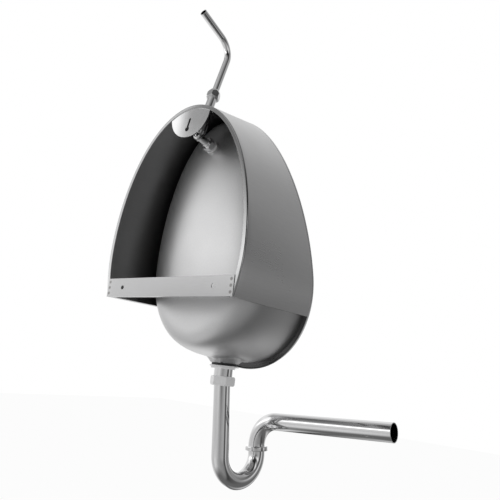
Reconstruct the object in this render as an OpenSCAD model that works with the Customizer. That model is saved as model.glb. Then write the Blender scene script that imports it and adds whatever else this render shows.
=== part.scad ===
// Wall-hung stainless steel urinal: pressed bowl, folded skirt, exposed flush pipe and trap.
// Millimetres, +Z up. The wall is the plane y = 0 and the user stands on the -Y side.
// The origin lies on the wall, midway between the two fixing holes of the wall strip.

/* [Sheet metal] */
// Thickness of the bowl and skirt sheet
sheet = 1.2; // [0.8:0.1:2]
// Thickness of the wall strip
strip_t = 1.5; // [1:0.1:3]

/* [Rear arch] */
// How much narrower each side of the skirt is at the wall than at the rim
side_taper = 3; // [0:0.5:20]
// Height of the arch's widest line above the fixing holes
arch_mid_z = 80; // [60:1:110]
// Step from the arch's crown up to the rim's crown
crown_step = 35; // [20:1:60]
// Depth at which the arch would close below its widest line
arch_drop = 254; // [225:1:300]
// Width of the flange folded in along the rear edge
rear_flange_w = 9; // [6:0.5:14]
// Width of the hem folded in along each foot of the skirt
hem_w = 9; // [6:0.5:12]

/* [Rim] */
// Lean of the rim plane towards the wall
rim_rake = 15; // [8:0.5:20]
// Distance from the wall to the rim plane, at the height of the fixing holes
rim_reach = 269; // [240:1:310]
// Half-width of the rim
rim_half_w = 190; // [160:1:220]
// Height of the rim's widest line above the fixing holes
rim_mid_z = 69; // [60:1:80]
// Rise of the rim above its widest line
rim_rise = 362; // [340:1:400]
// Drop of the rim below its widest line
rim_drop = 205; // [190:1:230]
// How pointed the crown of the rim is, 1 for a true ellipse
rim_point = 1.08; // [1:0.01:1.2]
// Depth of the skirt's foot below the fixing holes, at the rim
foot_front = 14; // [10:0.5:30]
// Width of the flat land round the bowl's mouth
land_w = 12; // [8:0.5:20]
// Depth of the lip turned back round the rim
lip_d = 9; // [6:0.5:14]
// Radius of the fold between land and lip
fold_r = 3; // [2.5:0.25:5]

/* [Bowl] */
// Clear distance between the back of the bowl and the wall
bowl_gap = 83; // [77:1:95]
// Lean of the bowl's back away from the plumb line
bowl_lean = 2.5; // [0:0.25:3]
// Squareness of the bowl's shoulders, 2 for an ellipse
bowl_square = 3.8; // [3:0.1:5]
// Height of the bowl's deepest line below the fixing holes
bowl_pole_drop = 65; // [40:1:90]

/* [Waste] */
// Distance from the wall to the waste
waste_reach = 215; // [205:1:225]
// Depth of the well pressed into the bowl's floor for the waste
well_d = 7.5; // [5:0.5:10]
// Radius of the well's flat floor
well_floor_r = 32; // [31:0.5:36]
// Diameter of the waste's threaded tail
tail_d = 43.5; // [43:0.5:46]
// Length of the waste's tail below its seat
tail_l = 40; // [37:1:50]
// Thickness of the waste's flange
waste_flange_t = 2.5; // [2:0.25:4]
// Diameter of the rubber gasket under the bowl
gasket_d = 57; // [54:1:60]
// Thickness of the rubber gasket
gasket_t = 5; // [3:0.5:7]
// Diameter of the backnut's flange
backnut_d = 66; // [63:1:70]
// Height of the flanged backnut
backnut_h = 7; // [5:0.5:9]
// Holes in the outer ring of the strainer
strainer_n = 12; // [8:1:14]

/* [Trap] */
// Outside diameter of the trap's tube
tube_d = 38; // [34:0.5:38.5]
// Wall of the trap's tube
tube_wall = 1.5; // [1:0.1:2.5]
// Lean of the trap in its slip joint, 0 for plumb
trap_lean = 5; // [0:0.5:5.5]
// Direction in which the foot of the leaning trap moves, from the row's X axis
trap_lean_heading = 217; // [180:1:270]
// Length of the trap from its slip joint to its bend
trap_leg = 152; // [110:1:200]
// Bend radius of the trap, on the tube's centre line
trap_r = 55; // [50:1:64]
// Direction in which the trap's bend heads, from straight out of the wall
trap_heading = 10; // [-30:1:30]
// Straight length from the trap's bend to the outlet's elbow, through the union
union_riser = 13; // [13:0.5:40]
// Direction of the outlet arm, from the row's X axis
arm_heading = 177; // [150:1:200]
// Straight length of the outlet arm
arm_l = 278; // [200:5:450]
// Width across the flats of the slip nut
slip_nut_af = 49; // [49:0.5:60]
// Height of the slip nut
slip_nut_h = 20; // [16:0.5:24]
// Outside diameter of the round union nut
union_d = 52; // [50:0.5:58]
// Height of the union nut
union_h = 10; // [9:0.25:11]

/* [Flush inlet] */
// Distance from the wall to the centre of the inlet elbow
elbow_reach = 34; // [30:1:38]
// Height of the arch's crown above the inlet elbow
elbow_drop = 58; // [52:1:70]
// Fall of the elbow's leg towards the bowl
inlet_fall = 5; // [0:0.5:12]
// Lean of the flush pipe away from the wall
flush_lean = 15; // [10:0.5:18]
// Diameter of the inlet riser's thread
riser_d = 21; // [19:0.5:22]
// Length of the inlet riser above the elbow's centre
riser_l = 123; // [115:1:150]
// Outside diameter of the flush pipe
flush_d = 16; // [12:0.5:16.5]
// Wall of the flush pipe
flush_wall = 1.2; // [0.8:0.1:2]
// Height of the flush pipe's bend above the elbow's centre, along the pipe
flush_rise = 229; // [180:1:300]
// Bend radius of the flush pipe, on its centre line
flush_r = 40; // [25:1:60]
// Straight length of the flush pipe after its bend
flush_run = 71; // [40:1:120]
// Depth to which the flush pipe enters the riser
flush_socket = 26; // [15:1:40]
// Width across the flats of the compression nut
comp_nut_af = 27; // [26:0.5:32]
// Height of the compression nut
comp_nut_h = 21; // [17:0.5:26]
// Diameter of the spray head inside the bowl
spray_d = 46; // [40:1:56]

/* [Wall fixing] */
// Distance between the two fixing holes
hole_pitch = 250; // [200:1:280]
// Diameter of the fixing holes
hole_d = 8.5; // [5:0.5:12]
// Height of the wall strip
strip_h = 39; // [30:0.5:44]
// Depth of the lip along the strip's lower edge
strip_lip = 9; // [5:0.5:15]
// Thickness of the hanger plate
hanger_t = 1.5; // [1:0.1:2.5]
// Diameter of the hanger plate
hanger_d = 110; // [95:1:125]
// Height of the arch's crown above the hanger plate's centre
hanger_drop = 18; // [12:1:24]
// Diameter of the keyhole's round end
key_d = 11; // [8:0.5:14]
// Width of the keyhole's slot
key_w = 5.5; // [4:0.5:7]
// Distance from the keyhole's round end to the top of its slot
key_l = 25; // [18:1:28]
// Height of the arch's crown above the keyhole's round end
key_drop = 54; // [48:1:58]
// Offset of the keyhole's round end from the middle line
key_x = 4.5; // [-6:0.5:6]
// Tilt of the keyhole's slot from plumb
key_tilt = 14; // [-20:1:20]

/* [Hidden] */
// Radial clearance of a part that turns on another
fit = 0.08;
// Clearance between curved parts that stand still against each other
gap = 0.3;
// Overrun of a cut past the face it opens
cut = 1;
// Columns round the rim and round the skirt, rings across the bowl, rows along the skirt
rim_cols = 72;
skirt_cols = 48;
bowl_rings = 13;
skirt_rows = 3;
$fn = 64;
hex_sides = 6;
drill_fn = 24;

// Heights that follow from the arch, the rim and the strip
arch_half_w = rim_half_w - side_taper;
crown_z = rim_mid_z + rim_rise - crown_step;
arch_rise = crown_z - arch_mid_z;
elbow_z = crown_z - elbow_drop;
hanger_z = crown_z - hanger_drop;
key_z = crown_z - key_drop;
foot_rear = strip_h / 2;
wall_y = -strip_t;
rear_a = asin((arch_mid_z + foot_rear) / arch_drop);
rim_a = asin((rim_mid_z + foot_front) / rim_drop);
strip_w = 2 * arch_half_w * cos(rear_a);

// Waste, heights from its seat: the underside of the well's floor
drain_y = -waste_reach;
seat_z = rim_mid_z - (rim_drop - land_w) - well_d;
well_flank = 6;
waste_bore = tube_d - 2 * tube_wall;
waste_flange_d = 2 * (well_floor_r - sheet) - 3;
waste_seal_t = 2;
tail_top = sheet + waste_seal_t;
strainer_t = 1.2;
strainer_d = waste_flange_d - 8;
strainer_hole = 5;
strainer_screw_d = 3.5;
bar_w = 5;
bar_h = 6;
bar_z = tail_top - bar_h - 2;
backnut_flange_t = 3;

// Slip joint: the tube leans about the middle of its seal
slip_seal_h = 4;
slip_lip = 4;
slip_insert = 12;
slip_chamfer = 3;
slip_turn = 24;
slip_z = -tail_l - slip_seal_h / 2;
tail_socket = slip_insert + 3;

// Bore that clears the leaning tube up to a distance z from the middle of the seal
function lean_d(z) = tube_d / cos(trap_lean) + 2 * z * tan(trap_lean);

// Union, heights from the end of the trap's bend: collar, washer, the arm's flange and the nut's lip
tube_bore = tube_d - 2 * tube_wall;
union_lip = 2;
union_foot = union_riser - union_h - 0.7;
union_thread_d = tube_d + 7;
union_flange_t = 2;
union_washer_t = 1.5;
union_flange_z = union_foot + union_h - union_lip - union_flange_t;
union_washer_z = union_flange_z - union_washer_t;
arm_turn = arm_heading + 90 + trap_heading;

// Inlet elbow, and places along its leg: elbow, its nut, backnut, washer and the bowl's pad
thread_wall = 2.4;
water_d = riser_d - 2 * thread_wall;
elbow_socket_z = 11;
elbow_od = riser_d + 5;
elbow_tube_d = riser_d - 4;
elbow_ball_d = elbow_tube_d + 4;
elbow_bore = water_d - 2;
elbow_socket_l = 22;
elbow_stop = 4;
pad_d = 32;
pad_t = 4.5;
pad_proud = 1.5;
function leg_z(d) = elbow_z - d * sin(inlet_fall);
function back_y(z) = let (share = (z + bowl_pole_drop) / (rim_z(90, land_w) + bowl_pole_drop))
    bowl_pt(90, share, land_w, bowl_gap)[1];
leg_d0 = (-back_y(elbow_z) - elbow_reach) / cos(inlet_fall);
leg_d = (-back_y(leg_z(leg_d0)) - elbow_reach) / cos(inlet_fall);
pad_rear = leg_d - pad_proud;
pad_front = pad_rear + pad_t;
inlet_washer_t = 2;
inlet_washer_d = 28;
inlet_backnut_h = 4;
inlet_nut_af = 27;
washer_z = pad_rear - inlet_washer_t;
backnut_z = washer_z - inlet_backnut_h;
elbow_nut_lip = 2;
elbow_nut_h = 11;
elbow_nut_z = backnut_z - elbow_nut_h - 4;
leg_joint = elbow_nut_z + elbow_nut_lip;

// Spray head inside the bowl
spray_flange_d = pad_d - 1;
spray_flange_h = 4;
spray_neck_d = 9;
spray_gap = 7;
spray_jet_d = 3;
spray_jet_r = (spray_neck_d + spray_jet_d) / 2 + 0.2;
spray_screw_l = 14;
spray_cap_h = 10;
spray_cap_wall = 2;
spray_screw_d = 4;
spray_cap_z = pad_front + spray_flange_h + spray_gap;

// Joint of the flush pipe
comp_ring_h = 5;
comp_lip = 4;
nut_chamfer = 1.5;
flush_foot = riser_l - flush_socket;
comp_nut_z = riser_l + comp_ring_h + comp_lip - comp_nut_h;

// A point of the rim's outline at angle a, drawn in by inset, at depth w behind the rim plane
function rim_z(a, inset) = rim_mid_z
    + (sin(a) > 0 ? (rim_rise - inset) * pow(sin(a), rim_point) : (rim_drop - inset) * sin(a));
function rim_y(z) = -rim_reach + z * tan(rim_rake);
function rim_pt(a, inset, w) = let (z = rim_z(a, inset))
    [(rim_half_w - inset) * cos(a), rim_y(z) + w * cos(rim_rake), z - w * sin(rim_rake)];

// A point of the rear arch at angle a, drawn in by inset, on the plane y
function arch_pt(a, inset, y) =
    [(arch_half_w - inset) * cos(a), y,
     arch_mid_z + ((sin(a) > 0 ? arch_rise : arch_drop) - inset) * sin(a)];

// A point of the bowl's skin: share runs from 1 at the mouth to 0 at the deepest point
function bowl_pt(a, share, inset, back) =
    let (z0 = rim_z(a, inset),
         z = -bowl_pole_drop + (z0 + bowl_pole_drop) * share,
         swell = pow(1 - pow(share, bowl_square), 1 / bowl_square),
         front = rim_y(z),
         rear = -back + z * tan(bowl_lean))
    [(rim_half_w - inset) * cos(a) * share, front + (rear - front) * swell, z];

// Faces of a skin through rings of n points each, closed at both ends by a single point
function ring_faces(rings, n) =
    let (last = rings * n + 1)
    concat(
        [for (i = [0:n - 1]) [0, 1 + (i + 1) % n, 1 + i]],
        [for (r = [0:rings - 2], i = [0:n - 1]) let (p = 1 + r * n, q = p + n, j = (i + 1) % n)
            each [[p + i, p + j, q + j], [p + i, q + j, q + i]]],
        [for (i = [0:n - 1]) let (p = 1 + (rings - 1) * n) [last, p + i, p + (i + 1) % n]]);

// Faces of a folded sheet through columns of m points each: a column runs out along one side of
// the sheet and back along the other, so each end is capped by a ladder between the two sides
function column_faces(cols, m) =
    let (far = (cols - 1) * m)
    concat(
        [for (k = [0:m / 2 - 2]) each
            [[k, m - 1 - k, m - 2 - k], [k, m - 2 - k, k + 1]]],
        [for (c = [0:cols - 2], k = [0:m - 1]) let (p = c * m, q = p + m, l = (k + 1) % m)
            each [[p + k, p + l, q + l], [p + k, q + l, q + k]]],
        [for (k = [0:m / 2 - 2]) each
            [[far + k, far + m - 2 - k, far + m - 1 - k], [far + k, far + k + 1, far + m - 2 - k]]]);

// A straight tube along +Z
module tube(od, id, l) {
    difference() {
        cylinder(d = od, h = l);
        translate([0, 0, -cut]) cylinder(d = id, h = l + 2 * cut);
    }
}

// A hexagonal prism with its corners turned off at both ends
module hex_blank(af, h, chamfer) {
    corner = af / cos(30);
    intersection() {
        cylinder(d = corner, h = h, $fn = hex_sides);
        rotate_extrude()
            polygon([[0, 0], [corner / 2 - chamfer, 0], [corner / 2, chamfer],
                [corner / 2, h - chamfer], [corner / 2 - chamfer, h], [0, h]]);
    }
}

// A slotted dome-headed screw whose head rests on z = 0 and whose shank runs down
module dome_screw(head_d, head_h, shank_d, shank_l) {
    dome_r = (head_d * head_d / 4 + head_h * head_h) / (2 * head_h);
    slot_w = head_d / 8;
    difference() {
        union() {
            intersection() {
                translate([0, 0, head_h - dome_r]) sphere(r = dome_r);
                cylinder(d = head_d, h = head_h);
            }
            translate([0, 0, -shank_l]) cylinder(d = shank_d, h = shank_l);
        }
        translate([-head_d, -slot_w / 2, head_h / 2]) cube([2 * head_d, slot_w, head_h]);
    }
}

// A solid elbow that leaves z = 0 upwards and bends towards +X
module elbow(r, d, angle) {
    translate([r, 0, 0]) rotate([90, 0, 0]) rotate([0, 0, 180 - angle])
        rotate_extrude(angle = angle) translate([r, 0]) circle(d = d);
}

// Places its children on the flush pipe's axis, z from the elbow's centre
module on_flush_axis() {
    translate([0, -elbow_reach, elbow_z]) rotate([flush_lean, 0, 0]) children();
}

// Places its children on the elbow's leg, z running from the elbow's centre into the bowl
module on_inlet_leg() {
    translate([0, -elbow_reach, elbow_z]) rotate([90 + inlet_fall, 0, 0]) children();
}

// Places its children on the axis of the waste, z from its seat
module on_waste() {
    translate([0, drain_y, seat_z]) children();
}

// Places its children on the trap's leaning inlet, z from the slip joint, x along the bend
module on_trap() {
    on_waste() translate([0, 0, slip_z])
        rotate([0, 0, trap_lean_heading]) rotate([0, -trap_lean, 0]) rotate([0, 0, -trap_lean_heading])
            rotate([0, 0, -90 - trap_heading]) children();
}

// Places its children on the trap's rising end, z from the end of the bend
module on_riser() {
    on_trap() translate([2 * trap_r, 0, -trap_leg]) children();
}

module bowl_shell() {
    n = rim_cols;
    angles = [for (i = [0:n - 1]) 360 * i / n];
    shares = [for (k = [1:bowl_rings]) sin(90 * k / bowl_rings)];
    inside = [for (s = shares) [for (a = angles) bowl_pt(a, s, land_w + sheet, bowl_gap + sheet)]];
    outside = [for (k = [bowl_rings - 1:-1:0])
        [for (a = angles) bowl_pt(a, shares[k], land_w, bowl_gap)
            + (k == bowl_rings - 1 ? rim_pt(a, 0, sheet) - rim_pt(a, 0, 0) : [0, 0, 0])]];
    edge = [
        [for (a = angles) rim_pt(a, fold_r, 0)],
        [for (a = angles) rim_pt(a, fold_r * (1 - sin(45)), fold_r * (1 - cos(45)))],
        [for (a = angles) rim_pt(a, 0, fold_r)],
        [for (a = angles) rim_pt(a, 0, lip_d)],
        [for (a = angles) rim_pt(a, sheet, lip_d)],
        [for (a = angles) rim_pt(a, sheet, fold_r)],
        [for (a = angles) rim_pt(a, fold_r, sheet)]];
    rings = concat(inside, edge, outside);
    front_pole = bowl_pt(0, 0, land_w + sheet, bowl_gap + sheet);
    rear_pole = bowl_pt(0, 0, land_w, bowl_gap);
    points = concat([front_pole], [for (r = rings) each r], [rear_pole]);
    polyhedron(points = points, faces = ring_faces(len(rings), n), convexity = 6);
}

// The well round the waste: a flat floor and a conical flank
module well(r, z_low) {
    on_waste() rotate_extrude()
        polygon([[0, z_low], [r, z_low], [r + well_flank, z_low + well_d + 2], [0, z_low + well_d + 2]]);
}

module bowl() {
    color("silver") difference() {
        union() {
            bowl_shell();
            well(well_floor_r, 0);
            on_inlet_leg() translate([0, 0, pad_rear]) cylinder(d = pad_d, h = pad_t);
        }
        well(well_floor_r - sheet, sheet);
        on_waste() translate([0, 0, -cut]) cylinder(d = tail_d + 2 * gap, h = sheet + 2 * cut);
        on_inlet_leg() translate([0, 0, pad_rear - cut])
            cylinder(d = riser_d + 2 * gap, h = pad_t + 2 * cut);
    }
}

module skirt() {
    n = skirt_cols;
    rear_angles = [for (i = [0:n]) -rear_a + (180 + 2 * rear_a) * i / n];
    rim_angles = [for (i = [0:n]) -rim_a + (180 + 2 * rim_a) * i / n];
    inner_r = fold_r - sheet;
    // Each column: out along the skirt from the rear fold to the rim, back inside, round the flange
    columns = [for (i = [0:n]) let (a = rear_angles[i], b = rim_angles[i],
            r0 = arch_pt(a, 0, wall_y - fold_r), r1 = arch_pt(a, sheet, wall_y - fold_r),
            f0 = rim_pt(b, 0, lip_d), f1 = rim_pt(b, sheet, lip_d))
        concat(
            [arch_pt(a, rear_flange_w, wall_y), arch_pt(a, fold_r, wall_y),
             arch_pt(a, fold_r * (1 - sin(45)), wall_y - fold_r * (1 - cos(45)))],
            [for (k = [0:skirt_rows]) r0 + (f0 - r0) * k / skirt_rows],
            [for (k = [skirt_rows:-1:0]) r1 + (f1 - r1) * k / skirt_rows],
            [arch_pt(a, sheet + inner_r * (1 - sin(45)), wall_y - sheet - inner_r * (1 - cos(45))),
             arch_pt(a, fold_r, wall_y - sheet), arch_pt(a, rear_flange_w, wall_y - sheet)])];
    points = [for (c = columns) each c];
    hem_rear = arch_pt(rear_angles[0], sheet / 2, wall_y - sheet - gap);
    hem_front = rim_pt(rim_angles[0], sheet / 2, lip_d + gap);
    color("silver") difference() {
        union() {
            polyhedron(points = points, faces = column_faces(n + 1, len(columns[0])), convexity = 6);
            for (side = [0, 1]) mirror([side, 0, 0])
                hull() for (p = [hem_rear, hem_front])
                    translate([p[0] - hem_w, p[1], p[2] + gap]) cube([hem_w, cut / 100, sheet]);
        }
        on_flush_axis() cylinder(d = riser_d + 2 * gap, h = riser_l);
    }
}

module wall_strip() {
    lip_w = strip_w - 2 * (hem_w + fold_r);
    color("gainsboro") difference() {
        union() {
            translate([-strip_w / 2, wall_y, -strip_h / 2]) cube([strip_w, strip_t, strip_h]);
            translate([-lip_w / 2, -strip_lip, -strip_h / 2]) cube([lip_w, strip_lip, strip_t]);
            translate([-lip_w / 2, -strip_lip / 2, strip_h / 2 - strip_t])
                cube([lip_w, strip_lip / 2, strip_t]);
        }
        for (side = [-1, 1])
            translate([side * hole_pitch / 2, cut, 0]) rotate([90, 0, 0])
                cylinder(d = hole_d, h = strip_t + 2 * cut);
    }
}

// The arch's outline drawn in by inset, in the X-Z plane
module arch_inside(inset) {
    polygon([for (i = [0:skirt_cols]) let (p = arch_pt(180 * i / skirt_cols, inset, 0)) [p[0], p[2]]]);
}

// The hanger plate lies against the inner face of the skirt's rear flange
module hanger_plate() {
    color("gainsboro") translate([0, wall_y - sheet, 0]) rotate([90, 0, 0]) linear_extrude(hanger_t)
        difference() {
            intersection() {
                translate([0, hanger_z]) circle(d = hanger_d);
                arch_inside(fold_r + gap);
            }
            translate([key_x, key_z]) rotate(key_tilt) {
                circle(d = key_d);
                translate([-key_w / 2, 0]) square([key_w, key_l - key_w / 2]);
                translate([0, key_l - key_w / 2]) circle(d = key_w);
            }
        }
}

module spray_body() {
    color("gainsboro") on_inlet_leg() difference() {
        union() {
            translate([0, 0, leg_joint]) cylinder(d = riser_d, h = pad_front - leg_joint);
            translate([0, 0, pad_front])
                cylinder(d1 = spray_flange_d, d2 = riser_d + 4, h = spray_flange_h);
            translate([0, 0, pad_front + spray_flange_h]) cylinder(d = spray_neck_d, h = spray_gap);
        }
        translate([0, 0, leg_joint - cut]) cylinder(d = water_d, h = pad_front - leg_joint);
        for (i = [0:5]) rotate([0, 0, 60 * i]) translate([spray_jet_r, 0, pad_front - 2 * cut])
            cylinder(d = spray_jet_d, h = spray_flange_h + 3 * cut, $fn = drill_fn);
        translate([0, 0, pad_front + 2])
            cylinder(d = spray_screw_d + 2 * gap, h = spray_gap + spray_flange_h);
    }
}

module spray_cap() {
    cap_r = (spray_d * spray_d / 4 + spray_cap_h * spray_cap_h) / (2 * spray_cap_h);
    color("gainsboro") on_inlet_leg() translate([0, 0, spray_cap_z]) difference() {
        intersection() {
            translate([0, 0, spray_cap_h - cap_r]) sphere(r = cap_r);
            cylinder(d = spray_d, h = spray_cap_h);
        }
        intersection() {
            translate([0, 0, spray_cap_h - cap_r]) sphere(r = cap_r - spray_cap_wall);
            translate([0, 0, -cut]) tube(spray_d - 2 * spray_cap_wall, spray_neck_d, spray_cap_h);
        }
        translate([0, 0, -cut]) cylinder(d = spray_screw_d + 2 * gap, h = spray_cap_h + 2 * cut);
    }
}

module spray_screw() {
    color("gainsboro") on_inlet_leg() translate([0, 0, spray_cap_z + spray_cap_h])
        dome_screw(spray_screw_d * 2.5, 3, spray_screw_d, spray_screw_l);
}

module inlet_washer() {
    color("whitesmoke") on_inlet_leg() translate([0, 0, washer_z])
        tube(inlet_washer_d, riser_d + 2 * gap, inlet_washer_t);
}

module inlet_backnut() {
    color("gainsboro") on_inlet_leg() translate([0, 0, backnut_z]) difference() {
        hex_blank(inlet_nut_af, inlet_backnut_h, nut_chamfer);
        translate([0, 0, -cut]) cylinder(d = riser_d + 2 * fit, h = inlet_backnut_h + 2 * cut);
    }
}

module elbow_nut() {
    color("gainsboro") on_inlet_leg() translate([0, 0, elbow_nut_z]) difference() {
        hex_blank(inlet_nut_af, elbow_nut_h, nut_chamfer);
        translate([0, 0, elbow_nut_lip]) cylinder(d = riser_d + 2 * fit, h = elbow_nut_h);
        translate([0, 0, -cut]) cylinder(d = elbow_tube_d + 2 * gap, h = elbow_nut_h);
    }
}

module inlet_elbow() {
    color("gainsboro") difference() {
        union() {
            on_flush_axis() sphere(d = elbow_ball_d);
            on_flush_axis() cylinder(d = elbow_tube_d, h = elbow_socket_z + elbow_stop);
            on_flush_axis() translate([0, 0, elbow_socket_z]) cylinder(d = elbow_od, h = elbow_socket_l);
            on_inlet_leg() cylinder(d = elbow_tube_d, h = leg_joint);
        }
        on_flush_axis() translate([0, 0, -elbow_bore / 4])
            cylinder(d = elbow_bore, h = elbow_socket_z + elbow_socket_l);
        on_flush_axis() translate([0, 0, elbow_socket_z + elbow_stop])
            cylinder(d = riser_d + 2 * gap, h = elbow_socket_l);
        on_inlet_leg() cylinder(d = elbow_bore - gap, h = leg_joint + cut);
    }
}

module inlet_riser() {
    bottom = elbow_socket_z + elbow_stop;
    color("gainsboro") on_flush_axis() difference() {
        translate([0, 0, bottom]) cylinder(d = riser_d, h = riser_l - bottom);
        translate([0, 0, bottom - cut]) cylinder(d = flush_d - 2 * flush_wall, h = riser_l);
        translate([0, 0, flush_foot - cut]) cylinder(d = flush_d + 2 * fit, h = flush_socket + 2 * cut);
    }
}

module compression_nut() {
    corner = comp_nut_af / cos(30);
    color("gainsboro") on_flush_axis() translate([0, 0, comp_nut_z]) difference() {
        intersection() {
            hex_blank(comp_nut_af, comp_nut_h, nut_chamfer);
            cylinder(d1 = corner + comp_nut_h / 2, d2 = comp_nut_af - comp_lip, h = comp_nut_h);
        }
        translate([0, 0, -cut]) cylinder(d = riser_d + 2 * fit, h = comp_nut_h - comp_lip + cut);
        translate([0, 0, -cut]) cylinder(d = flush_d + 2 * gap, h = comp_nut_h + 2 * cut);
    }
}

module compression_ring() {
    color("dimgray") on_flush_axis() translate([0, 0, riser_l])
        tube(riser_d - 2 * gap, flush_d + 2 * fit, comp_ring_h);
}

module flush_pipe() {
    bore = flush_d - 2 * flush_wall;
    first = flush_rise - flush_foot;
    color("gainsboro") on_flush_axis() difference() {
        union() {
            translate([0, 0, flush_foot]) cylinder(d = flush_d, h = first);
            translate([0, 0, flush_rise]) rotate([0, 0, 90]) elbow(flush_r, flush_d, 90);
            translate([0, flush_r, flush_rise + flush_r]) rotate([-90, 0, 0])
                cylinder(d = flush_d, h = flush_run);
        }
        translate([0, 0, flush_foot - cut]) cylinder(d = bore, h = first + cut);
        translate([0, 0, flush_rise]) rotate([0, 0, 90]) elbow(flush_r, bore, 90);
        translate([0, flush_r, flush_rise + flush_r]) rotate([-90, 0, 0])
            cylinder(d = bore, h = flush_run + cut);
    }
}

module waste_body() {
    top = tail_top + waste_flange_t;
    color("gainsboro") on_waste() difference() {
        union() {
            translate([0, 0, -tail_l]) cylinder(d = tail_d, h = tail_l + tail_top);
            translate([0, 0, tail_top]) cylinder(d = waste_flange_d, h = waste_flange_t);
        }
        // Bore, left whole where the cross bar carries the strainer's screw
        difference() {
            translate([0, 0, -tail_l - cut]) cylinder(d = waste_bore, h = tail_l + top + 2 * cut);
            translate([-waste_bore, -bar_w / 2, bar_z]) cube([2 * waste_bore, bar_w, bar_h]);
        }
        translate([0, 0, -tail_l - cut]) cylinder(d = lean_d(slip_insert) + 2 * fit, h = tail_socket + cut);
        translate([0, 0, top - strainer_t]) cylinder(d = strainer_d + 2 * gap, h = strainer_t + cut);
        translate([0, 0, bar_z - cut]) cylinder(d = strainer_screw_d + 2 * fit, h = bar_h + 2 * cut);
    }
}

module waste_seal() {
    color("whitesmoke") on_waste() translate([0, 0, sheet])
        tube(waste_flange_d - 4, tail_d + 2 * gap, waste_seal_t);
}

module strainer() {
    outer_r = waste_bore / 2 - strainer_hole / 2 - 1.5;
    color("gainsboro") on_waste() translate([0, 0, tail_top + waste_flange_t - strainer_t]) difference() {
        cylinder(d = strainer_d, h = strainer_t);
        for (i = [0:strainer_n - 1]) rotate([0, 0, 360 * i / strainer_n])
            translate([outer_r, 0, -cut])
                cylinder(d = strainer_hole, h = strainer_t + 2 * cut, $fn = drill_fn);
        for (i = [0:5]) rotate([0, 0, 60 * i + 30])
            translate([outer_r - 1.3 * strainer_hole, 0, -cut])
                cylinder(d = strainer_hole, h = strainer_t + 2 * cut, $fn = drill_fn);
        translate([0, 0, -cut]) cylinder(d = strainer_screw_d + 2 * fit, h = strainer_t + 2 * cut);
    }
}

module strainer_screw() {
    top = tail_top + waste_flange_t;
    color("gainsboro") on_waste() translate([0, 0, top])
        dome_screw(2 * strainer_screw_d, strainer_screw_d * 0.7, strainer_screw_d, top - bar_z);
}

module waste_gasket() {
    color("black") on_waste() translate([0, 0, -gasket_t]) tube(gasket_d, tail_d + 2 * gap, gasket_t);
}

module waste_backnut() {
    color("gainsboro") on_waste() translate([0, 0, -gasket_t - backnut_h]) difference() {
        union() {
            translate([0, 0, backnut_h - backnut_flange_t]) cylinder(d = backnut_d, h = backnut_flange_t);
            hex_blank(tail_d + 10, backnut_h, nut_chamfer);
        }
        translate([0, 0, -cut]) cylinder(d = tail_d + 2 * fit, h = backnut_h + 2 * cut);
    }
}

module slip_nut() {
    foot = slip_z - slip_seal_h / 2 - slip_lip;
    color("gainsboro") on_waste() translate([0, 0, foot]) rotate([0, 0, slip_turn]) difference() {
        hex_blank(slip_nut_af, slip_nut_h, slip_chamfer);
        translate([0, 0, slip_lip]) cylinder(d = tail_d + 2 * fit, h = slip_nut_h);
        translate([0, 0, -cut]) cylinder(d = lean_d(slip_seal_h / 2 + slip_lip) + 2 * gap, h = slip_nut_h);
    }
}

module slip_seal() {
    color("black") on_waste() translate([0, 0, slip_z - slip_seal_h / 2])
        tube(tail_d - 2 * gap, lean_d(slip_seal_h / 2) + 2 * fit, slip_seal_h);
}

module trap_bend() {
    collar_h = union_washer_z;
    color("gainsboro") difference() {
        union() {
            on_trap() translate([0, 0, -trap_leg]) cylinder(d = tube_d, h = trap_leg + slip_insert);
            on_trap() translate([0, 0, -trap_leg]) rotate([180, 0, 0]) elbow(trap_r, tube_d, 180);
            on_riser() cylinder(d = tube_d, h = collar_h);
            on_riser() translate([0, 0, union_foot]) cylinder(d = union_thread_d, h = collar_h - union_foot);
        }
        on_trap() translate([0, 0, -trap_leg]) cylinder(d = tube_bore, h = trap_leg + slip_insert + cut);
        on_trap() translate([0, 0, -trap_leg]) rotate([180, 0, 0]) elbow(trap_r, tube_bore, 180);
        on_riser() cylinder(d = tube_bore, h = collar_h + cut);
    }
}

module union_washer() {
    color("black") on_riser() translate([0, 0, union_washer_z])
        tube(union_thread_d - 2 * gap, tube_bore, union_washer_t);
}

// Round nut with a full, rounded edge: a lip above the arm's flange and a threaded bore below it
module union_nut() {
    edge = union_h / 4;
    color("gainsboro") on_riser() translate([0, 0, union_foot]) difference() {
        rotate_extrude() polygon([[0, 0], [union_d / 2 - edge, 0], [union_d / 2, edge],
            [union_d / 2, union_h - edge], [union_d / 2 - edge, union_h], [0, union_h]]);
        translate([0, 0, -cut]) cylinder(d = union_thread_d + 2 * fit, h = union_h - union_lip + cut);
        translate([0, 0, -cut]) cylinder(d = tube_d + 2 * gap, h = union_h + 2 * cut);
    }
}

module outlet_arm() {
    straight = union_riser - union_flange_z;
    color("gainsboro") on_riser() rotate([0, 0, arm_turn]) difference() {
        union() {
            translate([0, 0, union_flange_z]) cylinder(d = tube_d, h = straight);
            translate([0, 0, union_flange_z]) cylinder(d = union_thread_d - 2 * gap, h = union_flange_t);
            translate([0, 0, union_riser]) elbow(trap_r, tube_d, 90);
            translate([trap_r, 0, union_riser + trap_r]) rotate([0, 90, 0])
                cylinder(d = tube_d, h = arm_l);
        }
        translate([0, 0, union_flange_z - cut]) cylinder(d = tube_bore, h = straight + cut);
        translate([0, 0, union_riser]) elbow(trap_r, tube_bore, 90);
        translate([trap_r, 0, union_riser + trap_r]) rotate([0, 90, 0])
            cylinder(d = tube_bore, h = arm_l + cut);
    }
}

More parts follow.
